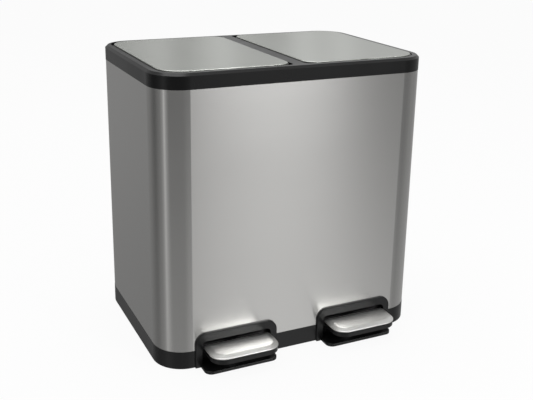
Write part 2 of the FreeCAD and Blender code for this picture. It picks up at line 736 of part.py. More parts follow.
def add_ears(body, sign):
    """Two ears stand in the trough beside each lug and reach back to carry its pin."""
    floor = "( rim_top - trough_depth - 0.5 )"
    front = "( trough_front - 1 )"
    back = "( hinge_back - ear_back )"
    low = f"( {HINGE_HEIGHT} - hinge_boss )"
    high = f"( {HINGE_HEIGHT} + hinge_boss )"
    profile = [(front, floor), (back, floor), (back, low), ("hinge_back", low), ("hinge_back", high), (front, high)]
    for lug in lug_places(sign):
        for direction in (-1, 1):
            near = f"{lug} + ( lug_width / 2 + play ) * {direction}"
            arm = new_sketch(body, "YZ_Plane", near)
            polygon(arm, profile)
            pad(body, arm, "ear_width", downward=direction < 0)
            boss = new_sketch(body, "YZ_Plane", near)
            circle(boss, "hinge_back", HINGE_HEIGHT, "hinge_boss")
            pad(body, boss, "ear_width", downward=direction < 0)
            hole = new_sketch(body, "YZ_Plane", near)
            circle(hole, "hinge_back", HINGE_HEIGHT, "hinge_pin")
            pocket(body, hole, "ear_width", upward=direction > 0)


# --- lids -----------------------------------------------------------------------------------


def lid_outline(sketch, sign, inset):
    """A lid's outline, drawn inwards by a formula."""
    left, right = mirrored_sides(sign, f"( {LID_IN} + {inset} )", f"( {LID_OUT} - {inset} )")
    radii = side_radii(sign, f"( lid_corner - {inset} )", f"( {LID_RADIUS} - {inset} )")
    rounded(sketch, left, right, f"{LID_FRONT} + {inset}", f"{LID_BACK} - {inset}", radii)


def make_lid_skin(side, sign):
    """The steel skin of a lid: a flat sheet with a rounded, folded edge."""
    body = new_body(f"lid_skin_{side}")
    outer = new_sketch(body, "XY_Plane", f"{LID_TOP} - skin_fold")
    lid_outline(outer, sign, "lid_border")
    pad(body, outer, "skin_fold")
    fillet(body, "skin_sheet * 1.5", lambda edge: at_height(edge, value(LID_TOP)))
    inner = new_sketch(body, "XY_Plane", f"{LID_TOP} - skin_fold")
    lid_outline(inner, sign, "( lid_border + skin_sheet )")
    pocket(body, inner, "skin_fold - skin_sheet", upward=True)
    return body


def make_lid_frame(side, sign):
    """The moulding under a skin: edge wall, raised field, ribs, hinge lugs and crank arm."""
    body = new_body(f"lid_frame_{side}")
    wall = new_sketch(body, "XY_Plane", LID_LOW)
    lid_outline(wall, sign, "0")
    pad(body, wall, "lid_height - skin_fold")
    field = new_sketch(body, "XY_Plane", f"{LID_TOP} - skin_fold")
    lid_outline(field, sign, "( lid_border + skin_sheet + play / 2 )")
    pad(body, field, "skin_fold - skin_sheet")
    hollow = new_sketch(body, "XY_Plane", f"{LID_LOW} - 1")
    lid_outline(hollow, sign, "( lid_border + skin_sheet + play / 2 + lid_wall )")
    pocket(body, hollow, f"{LID_UNDER} - {LID_LOW} + 1", upward=True)
    add_lid_ribs(body, sign)
    add_lugs(body, sign)
    add_crank(body, sign)
    return body


def add_lid_ribs(body, sign):
    """Shallow ribs stiffen the underside from front to back."""
    ribs = new_sketch(body, "XY_Plane", f"{LID_UNDER} - 2.5")
    for offset in ("- lug_spread / 2", "0", "lug_spread / 2"):
        middle = f"{sign} * {LID_MIDDLE} + {offset}"
        left = f"{middle} - lid_rib / 2"
        right = f"{middle} + lid_rib / 2"
        rectangle(ribs, left, right, f"{LID_FRONT} + 4", "opening_back")
    pad(body, ribs, "2.6")


def add_lugs(body, sign):
    """Two lugs reach down from the lid and turn on the hinge pins."""
    low = f"{HINGE_HEIGHT} - hinge_boss"
    high = f"{LID_UNDER} + 0.5"
    round_corner = "( hinge_boss - 0.01 )"
    for lug in lug_places(sign):
        sketch = new_sketch(body, "YZ_Plane", lug)
        front = "hinge_back - hinge_boss"
        back = "hinge_back + hinge_boss"
        rounded(sketch, front, back, low, high, [round_corner, round_corner, "0.4", "0.4"])
        pad(body, sketch, "lug_width", both=True)
        hole = new_sketch(body, "YZ_Plane", lug)
        circle(hole, "hinge_back", HINGE_HEIGHT, "hinge_pin + hinge_play")
        pocket(body, hole, "lug_width", both=True)


def add_crank(body, sign):
    """The crank arm slopes down and forward from the hinge axis to the rod hook."""
    middle = f"{sign} * pedal_offset"
    sketch = new_sketch(body, "YZ_Plane", middle)
    polygon(
        sketch,
        [
            (f"{CRANK_BACK} - crank_boss * 0.9", CRANK_HEIGHT),
            (f"{CRANK_BACK} - crank_boss * 0.3", f"{CRANK_HEIGHT} - crank_boss * 0.85"),
            (f"{CRANK_BACK} + crank_boss * 0.8", f"{CRANK_HEIGHT} - crank_boss * 0.6"),
            ("hinge_back + hinge_boss", f"{HINGE_HEIGHT} - hinge_boss"),
            ("hinge_back + hinge_boss", f"{LID_UNDER} + 0.5"),
            (f"{CRANK_BACK} - crank_boss * 0.9", f"{LID_UNDER} + 0.5"),
        ],
    )
    pad(body, sketch, "crank_width", both=True)
    fillet(body, "1.5", lambda edge: crank_edge(edge))
    hole = new_sketch(body, "YZ_Plane", middle)
    circle(hole, CRANK_BACK, CRANK_HEIGHT, "rod_radius + hinge_play")
    pocket(body, hole, "crank_width", both=True)


def crank_edge(edge):
    """True for the crank's level edges below the hinge axis."""
    box = edge.BoundBox
    level = box.YLength < 1e-4 and box.ZLength < 1e-4
    return level and box.ZMax < value(f"{HINGE_HEIGHT} - hinge_boss") - 1e-3


def make_hinge_pins(side, sign):
    """The two pins of a lid, pressed into the rim's ears."""
    body = new_body(f"hinge_pins_{side}")
    reach = "( lug_width / 2 + play + ear_width )"
    for lug in lug_places(sign):
        sketch = new_sketch(body, "YZ_Plane", lug)
        circle(sketch, "hinge_back", HINGE_HEIGHT, "hinge_pin")
        pad(body, sketch, f"2 * {reach}", both=True)
    return body


def make_bumpers(side, sign):
    """Three rubber buttons on the ledge stop a falling lid."""
    body = new_body(f"lid_bumpers_{side}")
    sketch = new_sketch(body, "XY_Plane", LEDGE)
    inset = "( lid_border + skin_sheet )"
    radius = "ledge_width / 2 - bumper_margin"
    circle(sketch, f"{sign} * {LID_MIDDLE}", f"{LID_FRONT} + {inset}", radius)
    for distance in (f"( {LID_IN} + {inset} )", f"( {LID_OUT} - {inset} )"):
        circle(sketch, f"{sign} * {distance}", "0", radius)
    pad(body, sketch, f"{LID_LOW} - {LEDGE} - bumper_gap")
    return body


# --- opening mechanism ----------------------------------------------------------------------


def make_rod(side, sign):
    """The push rod: a wire with a hook through the crank above and the lever below."""
    body = new_body(f"push_rod_{side}")
    upright_x = "- rod_offset"
    upper_tail = "( crank_width / 2 + hook_tail )"
    lower_tail = "( lever_width / 2 + hook_tail )"
    path = new_sketch(body, "XZ_Plane", f"- {CRANK_BACK}")
    rod_path(path, upright_x, upper_tail, lower_tail)
    section = new_sketch(body, "YZ_Plane", upper_tail)
    circle(section, CRANK_BACK, CRANK_HEIGHT, "rod_radius")
    doc.recompute()
    pipe = body.newObject("PartDesign::AdditivePipe", "Pipe")
    pipe.Profile = section
    pipe.Spine = (path, [f"Edge{index}" for index in range(1, 6)])
    doc.recompute()
    place(body, x=f"{sign} * pedal_offset")
    return body


def rod_path(sketch, upright_x, upper_tail, lower_tail):
    """Two level tails joined by an upright, with round bends."""
    x = value(upright_x)
    upper_end = value(upper_tail)
    lower_end = value(lower_tail)
    low = value("lever_axis")
    high = value(CRANK_HEIGHT)
    bend = value("rod_bend")
    sketch.addGeometry(Part.LineSegment(Vector(upper_end, high, 0), Vector(x + bend, high, 0)), False)
    top = Part.Circle(Vector(x + bend, high - bend, 0), Vector(0, 0, 1), bend)
    sketch.addGeometry(Part.ArcOfCircle(top, QUARTER, 2 * QUARTER), False)
    sketch.addGeometry(Part.LineSegment(Vector(x, high - bend, 0), Vector(x, low + bend, 0)), False)
    foot = Part.Circle(Vector(x + bend, low + bend, 0), Vector(0, 0, 1), bend)
    sketch.addGeometry(Part.ArcOfCircle(foot, 2 * QUARTER, 3 * QUARTER), False)
    sketch.addGeometry(Part.LineSegment(Vector(x + bend, low, 0), Vector(lower_end, low, 0)), False)
    sketch.addConstraint(Sketcher.Constraint("Tangent", 0, 2, 1, 1))
    sketch.addConstraint(Sketcher.Constraint("Tangent", 1, 2, 2, 1))
    sketch.addConstraint(Sketcher.Constraint("Tangent", 2, 2, 3, 1))
    sketch.addConstraint(Sketcher.Constraint("Tangent", 3, 2, 4, 1))
    sketch.addConstraint(Sketcher.Constraint("Horizontal", 0))
    sketch.addConstraint(Sketcher.Constraint("Vertical", 2))
    sketch.addConstraint(Sketcher.Constraint("Horizontal", 4))
    constrain(sketch, "DistanceX", -1, 1, 0, 1, size=upper_tail)
    constrain(sketch, "DistanceY", -1, 1, 0, 1, size=CRANK_HEIGHT)
    constrain(sketch, "DistanceX", -1, 1, 2, 1, size=upright_x)
    constrain(sketch, "Radius", 1, size="rod_bend")
    constrain(sketch, "Radius", 3, size="rod_bend")
    constrain(sketch, "DistanceX", -1, 1, 4, 2, size=lower_tail)
    constrain(sketch, "DistanceY", -1, 1, 4, 2, size="lever_axis")


def lever_side(sketch, top_drop, low_rise):
    """The lever's side view, with its top and lower edges moved inwards by two formulas."""
    tail = f"{CRANK_BACK} + lever_tail"
    polygon(
        sketch,
        [
            (tail, f"lever_axis - lever_low - {low_rise}"),
            (tail, f"{LEVER_TOP} - {top_drop}"),
            ("blade_back + 25", f"{LEVER_TOP} - {top_drop}"),
            ("blade_back", f"{BLADE_TOP} - {top_drop}"),
            ("pedal_front + 12", f"{BLADE_TOP} - {top_drop}"),
            ("pedal_front + 12", f"{BLADE_TOP} - 6 - {low_rise}"),
            ("blade_back", f"{BLADE_TOP} - 14 - {low_rise}"),
            ("blade_back + 25", f"lever_axis + 2.5 - {low_rise}"),
            ("lever_pivot - 22", f"lever_axis - lever_low - {low_rise}"),
        ],
    )


def make_lever(side, sign):
    """The pedal lever: a pressed channel from the pedal to the rod at the back."""
    body = new_body(f"pedal_lever_{side}")
    outside = new_sketch(body, "YZ_Plane")
    lever_side(outside, "0", "0")
    pad(body, outside, "lever_width", both=True)
    inside = new_sketch(body, "YZ_Plane")
    lever_side(inside, "lever_sheet", "10")
    pocket(body, inside, "lever_width - 2 * lever_sheet", both=True)
    pivot = new_sketch(body, "YZ_Plane")
    circle(pivot, "lever_pivot", "lever_axis", "pivot_pin + hinge_play")
    pocket(body, pivot, "lever_width", both=True)
    slot = new_sketch(body, "YZ_Plane")
    half = "hook_slot / 2"
    height = "( rod_radius + hook_play )"
    rounded(
        slot,
        f"{CRANK_BACK} - {half}",
        f"{CRANK_BACK} + {half}",
        f"lever_axis - {height}",
        f"lever_axis + {height}",
        [f"( {height} - 0.01 )"] * 4,
    )
    pocket(body, slot, "lever_width", both=True)
    place(body, x=f"{sign} * pedal_offset")
    return body


def make_bracket(side, sign):
    """The lever bracket: two ears that hang from the pan, with feet that screw to it."""
    body = new_body(f"lever_bracket_{side}")
    gap = "( lever_width / 2 + play )"
    low = "( lever_axis - lever_low - 2 )"
    section = new_sketch(body, "XZ_Plane", "- lever_pivot")
    outer = f"( {gap} + bracket_sheet )"
    foot = f"( {gap} + bracket_flange )"
    polygon(
        section,
        [
            (f"- {foot}", PAN_LOW),
            (f"- {foot}", f"{PAN_LOW} - bracket_sheet"),
            (f"- {outer}", f"{PAN_LOW} - bracket_sheet"),
            (f"- {outer}", low),
            (f"- {gap}", low),
            (f"- {gap}", f"{PAN_LOW} - bracket_sheet"),
            (gap, f"{PAN_LOW} - bracket_sheet"),
            (gap, low),
            (outer, low),
            (outer, f"{PAN_LOW} - bracket_sheet"),
            (foot, f"{PAN_LOW} - bracket_sheet"),
            (foot, PAN_LOW),
        ],
    )
    pad(body, section, "bracket_length", both=True)
    fillet(body, "4", lambda edge: low_cross_edge(edge))
    pivot = new_sketch(body, "YZ_Plane")
    circle(pivot, "lever_pivot", "lever_axis", "pivot_pin")
    pocket(body, pivot, "4 * lever_width", both=True)
    place(body, x=f"{sign} * pedal_offset")
    return body


def low_cross_edge(edge):
    """True for the bracket ears' lower edges that run across the ear's thickness."""
    box = edge.BoundBox
    across = box.YLength < 1e-4 and box.ZLength < 1e-4 and box.XLength > 1e-3
    return across and box.ZMax < value("lever_axis")


def make_pivot_pin(side, sign):
    """The lever's pivot pin, with a head at each end."""
    body = new_body(f"pivot_pin_{side}")
    reach = "( lever_width / 2 + play + bracket_sheet )"
    shank = new_sketch(body, "YZ_Plane")
    circle(shank, "lever_pivot", "lever_axis", "pivot_pin")
    pad(body, shank, f"2 * {reach}", both=True)
    for direction in (-1, 1):
        head = new_sketch(body, "YZ_Plane", f"{direction} * {reach}")
        circle(head, "lever_pivot", "lever_axis", "pivot_head")
        pad(body, head, "screw_head_height", downward=direction < 0)
    place(body, x=f"{sign} * pedal_offset")
    return body


def screw_row(label, places, top):
    """Pan-head screws driven upwards, heads below a level face."""
    body = new_body(label)
    heads = new_sketch(body, "XY_Plane", f"{top} - screw_head_height")
    for place_x, place_y in places:
        circle(heads, place_x, place_y, "screw_head")
    pad(body, heads, "screw_head_height")
    return body


def bracket_screw_places():
    """Two screws in each bracket foot."""
    x = "( lever_width / 2 + play + ( bracket_sheet + bracket_flange ) / 2 )"
    y = "( bracket_length / 4 + 0.5 )"
    return [(f"{sx} * {x}", f"lever_pivot + {sy} * {y}") for sx in (-1, 1) for sy in (-1, 1)]


def make_bracket_screws(side, sign):
    """The screws that hold a lever bracket to the pan."""
    body = screw_row(f"bracket_screws_{side}", bracket_screw_places(), f"{PAN_LOW} - bracket_sheet")
    place(body, x=f"{sign} * pedal_offset")
    return body


# --- pedals ---------------------------------------------------------------------------------


def pedal_outline(sketch, inset):
    """A pedal's plan, drawn inwards by a formula."""
    front = f"( pedal_radius - {inset} )"
    heel = f"( pedal_heel - {inset} )"
    rounded(
        sketch,
        f"- pedal_width / 2 + {inset}",
        f"pedal_width / 2 - {inset}",
        f"pedal_front + {inset}",
        f"pedal_back - {inset}",
        [front, front, heel, heel],
    )


def make_cap(side, sign):
    """The pressed steel cap: bevelled round its top, its turned-down edge notched for the lever."""
    body = new_body(f"pedal_cap_{side}")
    outer = new_sketch(body, "XY_Plane", "pedal_top - pedal_depth")
    pedal_outline(outer, "0")
    pad(body, outer, "pedal_depth - cap_bevel_down")
    add_bevel(body)
    fillet(body, "cap_round", lambda edge: at_height(edge, value("pedal_top - cap_bevel_down")))
    hollow = new_sketch(body, "XY_Plane", "pedal_top - pedal_depth")
    pedal_outline(hollow, "cap_sheet")
    pocket(body, hollow, "pedal_depth - cap_bevel_down - cap_sheet", upward=True)
    notch = new_sketch(body, "XY_Plane", "pedal_top - pedal_depth")
    notch_half = "( lever_width / 2 + play )"
    rectangle(notch, f"- {notch_half}", notch_half, "pedal_back - 2 * cap_sheet", "pedal_back + 1")
    pocket(body, notch, f"{BLADE_TOP} + play - pedal_top + pedal_depth", upward=True)
    place(body, x=f"{sign} * pedal_offset")
    return body


def add_bevel(body):
    """Loft the sloped border of the cap up to its flat top."""
    foot = new_sketch(body, "XY_Plane", "pedal_top - cap_bevel_down")
    pedal_outline(foot, "0")
    crown = new_sketch(body, "XY_Plane", "pedal_top")
    rounded(
        crown,
        "- pedal_width / 2 + cap_bevel_in",
        "pedal_width / 2 - cap_bevel_in",
        "pedal_front + cap_bevel_in",
        "pedal_back - cap_bevel_in / 2",
        ["pedal_radius - cap_bevel_in"] * 2 + ["pedal_heel - cap_bevel_in / 2"] * 2,
    )
    doc.recompute()
    loft = body.newObject("PartDesign::AdditiveLoft", "Loft")
    loft.Profile = foot
    loft.Sections = [crown]
    loft.Ruled = True
    doc.recompute()


def make_carrier(side, sign):
    """The moulded pad carrier inside the cap: a floor, a wall and ribs beside the lever."""
    body = new_body(f"pedal_carrier_{side}")
    low = "( pedal_top - pedal_depth - carrier_drop )"
    inset = "( cap_sheet + play / 3 )"
    block = new_sketch(body, "XY_Plane", low)
    pedal_outline(block, inset)
    pad(body, block, f"pedal_top - cap_bevel_down - cap_sheet - {low}")
    hollow = new_sketch(body, "XY_Plane", low)
    pedal_outline(hollow, f"( {inset} + carrier_wall )")
    pocket(body, hollow, f"{BLADE_TOP} - {low}", upward=True)
    ribs = new_sketch(body, "XY_Plane", f"{low} + 1")
    for direction in (-1, 1):
        middle = f"{direction} * ( lever_width / 2 + play + carrier_wall )"
        left = f"{middle} - carrier_wall / 2"
        right = f"{middle} + carrier_wall / 2"
        rectangle(ribs, left, right, "pedal_front + 3", "pedal_back - 3")
    pad(body, ribs, f"{BLADE_TOP} - {low} - 0.5")
    slot = new_sketch(body, "XY_Plane", low)
    rectangle(
        slot,
        "- lever_width / 2 - play",
        "lever_width / 2 + play",
        "pedal_back - 6",
        "pedal_back + 1",
    )
    pocket(body, slot, f"{BLADE_TOP} - {low}", upward=True)
    place(body, x=f"{sign} * pedal_offset")
    return body


# --- buckets --------------------------------------------------------------------------------


def bucket_section(body, height, inset):
    """A level outline of the bucket, centred on its own axis."""
    sketch = new_sketch(body, "XY_Plane", height)
    plan_outline(
        sketch,
        f"( {BUCKET_HALF_WIDTH} - {inset} )",
        f"( {BUCKET_HALF_DEPTH} - {inset} )",
        f"( {BUCKET_RADIUS} - {inset} )",
    )
    return sketch


def make_bucket(side, sign):
    """The lift-out bucket: tapered walls, a rolled rim and two hand holes."""
    body = new_body(f"bucket_{side}")
    low = "( pan_top + play )"
    foot = bucket_section(body, low, "( bucket_lip + bucket_taper )")
    mouth = bucket_section(body, BUCKET_TOP, "bucket_lip")
    doc.recompute()
    outside = body.newObject("PartDesign::AdditiveLoft", "Loft")
    outside.Profile = foot
    outside.Sections = [mouth]
    outside.Ruled = True
    doc.recompute()
    lip = bucket_section(body, f"{BUCKET_TOP} - bucket_lip_depth", "0")
    pad(body, lip, "bucket_lip_depth")
    fillet(body, "2", lambda edge: at_height(edge, value(BUCKET_TOP)))
    inner_foot = bucket_section(body, f"{low} + bucket_wall", "( bucket_lip + bucket_taper + bucket_wall )")
    inner_mouth = bucket_section(body, f"{BUCKET_TOP} + 0.001", "( bucket_lip + bucket_wall )")
    doc.recompute()
    inside = body.newObject("PartDesign::SubtractiveLoft", "Hollow")
    inside.Profile = inner_foot
    inside.Sections = [inner_mouth]
    inside.Ruled = True
    doc.recompute()
    undercut = bucket_section(body, f"{BUCKET_TOP} - bucket_lip_depth", "bucket_wall")
    plan_outline(
        undercut,
        f"( {BUCKET_HALF_WIDTH} - bucket_lip )",
        f"( {BUCKET_HALF_DEPTH} - bucket_lip )",
        f"( {BUCKET_RADIUS} - bucket_lip )",
    )
    pocket(body, undercut, "bucket_lip_depth - bucket_wall", upward=True)
    holes = new_sketch(body, "YZ_Plane")
    middle = f"( {BUCKET_TOP} - hand_hole_drop )"
    rounded(
        holes,
        "- hand_hole_width / 2",
        "hand_hole_width / 2",
        f"{middle} - hand_hole_height / 2",
        f"{middle} + hand_hole_height / 2",
        ["( hand_hole_height / 2 - 0.5 )"] * 4,
    )
    pocket(body, holes, "body_width", both=True)
    place(body, x=f"{sign} * {BUCKET_MIDDLE}", y=BUCKET_CENTRE)
    return body


# --- assembly -------------------------------------------------------------------------------


def check_document():
    """Stop if any object of the document failed to build."""
    for item in doc.Objects:
        if "Invalid" in item.State or "Error" in item.State:
            raise RuntimeError(f"{item.Name} ({item.Label}) is {item.State}")


def check_and_write(nodes):
    """Test each sub-part's shape, then write all of them."""
    for body in nodes:
        if body.Shape.isNull() or not body.Shape.isValid() or not body.Shape.Solids:
            raise RuntimeError(f"{body.Label} has no valid shape")
    os.makedirs("parts", exist_ok=True)
    for body in nodes:
        body.Shape.exportStep(f"parts/{body.Label}.step")
        print(f"{body.Label}: {len(body.Shape.Solids)} solid(s), {body.Shape.Volume / 1000:.1f} cm3")


def build():
    """Make every sub-part of the bin."""
    fill_sheet()
    nodes = [make_wrap(), make_base(), make_feet(), make_collar()]
    for side, sign in SIDES:
        nodes.append(make_surround(side, sign))
        nodes.append(make_lid_skin(side, sign))
        nodes.append(make_lid_frame(side, sign))
        nodes.append(make_hinge_pins(side, sign))
        nodes.append(make_bumpers(side, sign))
        nodes.append(make_rod(side, sign))
        nodes.append(make_lever(side, sign))
        nodes.append(make_bracket(side, sign))
        nodes.append(make_pivot_pin(side, sign))
        nodes.append(make_bracket_screws(side, sign))
        nodes.append(make_cap(side, sign))
        nodes.append(make_carrier(side, sign))
        nodes.append(make_bucket(side, sign))
    doc.recompute()
    check_document()
    check_and_write(nodes)


build()
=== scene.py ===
import math

import bmesh
import bpy
from mathutils import Matrix, Vector


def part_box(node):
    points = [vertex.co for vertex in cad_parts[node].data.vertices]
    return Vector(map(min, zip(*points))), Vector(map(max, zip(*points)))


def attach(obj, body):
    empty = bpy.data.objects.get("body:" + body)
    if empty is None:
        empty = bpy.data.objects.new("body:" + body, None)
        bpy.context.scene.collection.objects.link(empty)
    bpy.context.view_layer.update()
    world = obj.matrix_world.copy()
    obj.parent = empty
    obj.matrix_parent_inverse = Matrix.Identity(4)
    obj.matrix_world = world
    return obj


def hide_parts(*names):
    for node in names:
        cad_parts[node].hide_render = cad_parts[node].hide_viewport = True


# Double recycling bin, dressed for the picture. Metres, +Z up, the pedals face -Y.

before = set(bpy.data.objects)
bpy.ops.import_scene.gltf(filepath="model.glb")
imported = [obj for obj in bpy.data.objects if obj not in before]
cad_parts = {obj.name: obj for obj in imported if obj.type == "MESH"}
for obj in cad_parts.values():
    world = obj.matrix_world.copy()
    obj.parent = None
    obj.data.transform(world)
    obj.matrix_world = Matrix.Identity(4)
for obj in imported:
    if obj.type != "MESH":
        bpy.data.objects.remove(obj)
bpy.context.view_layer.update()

IMAGE_WIDTH = 533
SENSOR_WIDTH = 36.0

# Camera, from a fit of the bin's corners: angles in degrees, then its offsets from the aim in
# metres, then the lens in pixels of the photograph.
CAMERA_AZIMUTH = -25.39
CAMERA_ELEVATION = 17.01
CAMERA_ROLL = 1.0
CAMERA_DISTANCE = 1.474
CAMERA_RIGHT = 0.0155
CAMERA_UP = 0.0403
CAMERA_AIM = Vector((0.0, 0.0, 0.240))
FOCAL_PIXELS = 825.5
SHIFT_PIXELS = -40

# The studio as the steel sees it. Each card has its azimuth, in degrees from +X, and its level.
# One ring stands about the horizon, one lies towards the floor and one hangs at the ceiling.
EYE_CARDS = [
    (-180, 0.16),
    (-167, 0.34),
    (-162.5, 0.80),
    (-158, 0.34),
    (-146, 0.06),
    (-100, 0.06),
    (-78, 0.08),
    (-71.5, 0.20),
    (-69.3, 0.54),
    (-68.2, 0.30),
    (-66.5, 0.50),
    (-64.5, 0.62),
    (-61.5, 0.62),
    (-59.5, 0.50),
    (-57.5, 0.26),
    (-55, 0.18),
    (-45, 0.12),
    (0, 0.26),
    (65, 0.50),
    (98, 0.30),
    (125, 0.24),
    (160, 0.08),
    (180, 0.16),
]
FLOOR_CARDS = [
    (-180, 0.30),
    (-162, 0.50),
    (-140, 0.36),
    (-100, 0.36),
    (-75, 0.48),
    (-69, 0.66),
    (-65, 0.86),
    (-60, 0.80),
    (-56, 0.60),
    (-40, 0.36),
    (65, 0.50),
    (100, 0.24),
    (150, 0.20),
    (180, 0.30),
]
CEILING_CARDS = [
    (-180, 0.56),
    (40, 0.60),
    (56, 0.66),
    (58.0, 0.66),
    (59.5, 1.02),
    (60.9, 0.46),
    (62.3, 1.02),
    (63.8, 0.06),
    (65.4, 0.74),
    (66.6, 0.48),
    (68.0, 0.98),
    (69.6, 0.04),
    (71.4, 0.66),
    (74, 0.30),
    (90, 0.42),
    (180, 0.56),
]

# Elevations, in degrees, between which one ring gives way to the next.
CEILING_FROM = 2
CEILING_FULL = 10
FLOOR_FROM = -10
FLOOR_FULL = -30

FLOOR_HALF = 20.0
FLOOR_DARK = (0.88, 0.88, 0.88)
FLOOR_LIGHT = (0.9, 0.9, 0.9)
FLOOR_ROUGHNESS = 0.9
FLOOR_CLOUDS = 2.0
FLOOR_GLOW = 0.93

# The floor under the bin, where nothing lightens its shadow.
SHADE_HALF_WIDTH = 0.215
SHADE_HALF_DEPTH = 0.145

# Lamps: name, place, the point that it faces, width, height and watts.
LAMPS = [
    ("key", (0.67, -1.6, 1.15), (-0.02, -0.18, 0.05), 0.5, 0.9, 7.0),
    ("top", (-0.3, 0.2, 2.4), (0, 0, 0.2), 1.6, 1.6, 20.0),
]


# --- node helpers ---------------------------------------------------------------------------


def add_node(tree, kind, **settings):
    """A new node of a tree, with its settings."""
    node = tree.nodes.new(kind)
    for key, setting in settings.items():
        setattr(node, key, setting)
    return node


class Shader:
    """A material under construction, its Principled shader and short ways to add nodes."""

    def __init__(self, name):
        self.material = bpy.data.materials.new(name)
        self.material.use_nodes = True
        self.tree = self.material.node_tree
        self.surface = self.tree.nodes["Principled BSDF"]
        self.place = self.add("ShaderNodeTexCoord").outputs["Object"]

    def add(self, kind, **settings):
        """A new node in this material."""
        return add_node(self.tree, kind, **settings)

    def link(self, output, node_input):
        """Join an output to an input."""
        self.tree.links.new(output, node_input)

    def scaled(self, scale):
        """The object's coordinates, stretched along each axis."""
        mapping = self.add("ShaderNodeMapping")
        mapping.inputs["Scale"].default_value = scale
        self.link(self.place, mapping.inputs["Vector"])
        return mapping.outputs["Vector"]

    def noise(self, scale, detail=3.0, roughness=0.5):
        """Noise whose grains are one unit over the scale along each axis."""
        node = self.add("ShaderNodeTexNoise")
        node.inputs["Scale"].default_value = 1.0
        node.inputs["Detail"].default_value = detail
        node.inputs["Roughness"].default_value = roughness
        self.link(self.scaled(scale), node.inputs["Vector"])
        return node.outputs["Fac"]

    def spread(self, factor, low, high, narrow=0.3):
        """A factor about one half, spread to run from low to high."""
        node = self.add("ShaderNodeMapRange")
        node.inputs["From Min"].default_value = narrow
        node.inputs["From Max"].default_value = 1.0 - narrow
        node.inputs["To Min"].default_value = low
        node.inputs["To Max"].default_value = high
        self.link(factor, node.inputs["Value"])
        return node.outputs["Result"]

    def combine(self, operation, first, second):
        """Two terms, each a number or an output, joined by an operation."""
        node = self.add("ShaderNodeMath", operation=operation)
        for index, term in enumerate((first, second)):
            if isinstance(term, (int, float)):
                node.inputs[index].default_value = term
            else:
                self.link(term, node.inputs[index])
        return node.outputs["Value"]

    def tint(self, factor, dark, light):
        """A colour between two, by a factor."""
        node = self.add("ShaderNodeMix", data_type="RGBA")
        node.inputs["A"].default_value = (*dark, 1.0)
        node.inputs["B"].default_value = (*light, 1.0)
        self.link(factor, node.inputs["Factor"])
        self.link(node.outputs["Result"], self.surface.inputs["Base Color"])

    def rough(self, factor):
        """Drive the surface's roughness by a factor."""
        self.link(factor, self.surface.inputs["Roughness"])

    def bump(self, height, strength, distance):
        """Tilt the surface's normals as if a height, scaled by the distance, stood on it."""
        node = self.add("ShaderNodeBump")
        node.inputs["Strength"].default_value = strength
        node.inputs["Distance"].default_value = distance
        self.link(height, node.inputs["Height"])
        self.link(node.outputs["Normal"], self.surface.inputs["Normal"])


def shaded(colour, amount):
    """A colour made darker or lighter by an amount."""
    return tuple(min(1.0, part * (1.0 + amount)) for part in colour)


# --- materials ------------------------------------------------------------------------------

# Turns the anisotropy's tangent by a quarter, so that a highlight spreads across the grain.
QUARTER_TURN = 0.25
SCRATCH_SHARE = 0.6
CLOUD_SHARE = 0.4
STEEL_TINT = 0.015
STEEL_ROUGHNESS_SWING = 0.08
SCRATCH_STRENGTH = 0.006
SCRATCH_DEPTH = 0.00003

PLASTIC_CLOUDS = 14.0
PLASTIC_TINT = 0.18
PLASTIC_ROUGHNESS_SWING = 0.12
PLASTIC_STRENGTH = 0.15

CRYSTALS = 260.0
CRYSTAL_DARKER = -0.15
CRYSTAL_LIGHTER = 0.1
MARKS = 40.0
MARK_SMOOTH = 0.3
MARK_COARSE = 0.5
MARK_STRENGTH = 0.08
MARK_DEPTH = 0.0002


def brushed_steel(name, colour, grain, cloud, roughness, anisotropy, axis="Z"):
    """Stainless sheet with long fine scratches along its grain and faint broad clouding."""
    shader = Shader(name)
    surface = shader.surface
    surface.inputs["Metallic"].default_value = 1.0
    surface.inputs["Anisotropic"].default_value = anisotropy
    surface.inputs["Anisotropic Rotation"].default_value = QUARTER_TURN
    tangent = shader.add("ShaderNodeTangent", direction_type="RADIAL", axis=axis)
    shader.link(tangent.outputs["Tangent"], surface.inputs["Tangent"])
    scratches = shader.noise(grain, detail=5.0, roughness=0.7)
    clouds = shader.noise(cloud, detail=2.0)
    fine = shader.combine("MULTIPLY", scratches, SCRATCH_SHARE)
    broad = shader.combine("MULTIPLY", clouds, CLOUD_SHARE)
    mixed = shader.combine("ADD", fine, broad)
    tone = shader.spread(mixed, 0.0, 1.0)
    shader.tint(tone, shaded(colour, -STEEL_TINT), shaded(colour, STEEL_TINT))
    smooth = roughness * (1 - STEEL_ROUGHNESS_SWING)
    coarse = roughness * (1 + STEEL_ROUGHNESS_SWING)
    shader.rough(shader.spread(mixed, smooth, coarse))
    shader.bump(scratches, SCRATCH_STRENGTH, SCRATCH_DEPTH)
    return shader.material


def moulded(name, colour, roughness, grain=1800.0, depth=0.00012):
    """Moulded plastic: fine spark-eroded texture, slight unevenness of sheen and colour."""
    shader = Shader(name)
    texture = shader.noise((grain,) * 3, detail=3.0, roughness=0.6)
    clouds = shader.noise((PLASTIC_CLOUDS,) * 3, detail=3.0)
    tone = shader.spread(clouds, 0.0, 1.0)
    shader.tint(tone, shaded(colour, -PLASTIC_TINT), shaded(colour, PLASTIC_TINT))
    smooth = roughness * (1 - PLASTIC_ROUGHNESS_SWING)
    coarse = roughness * (1 + PLASTIC_ROUGHNESS_SWING)
    shader.rough(shader.spread(clouds, smooth, coarse))
    shader.bump(texture, PLASTIC_STRENGTH, depth)
    return shader.material


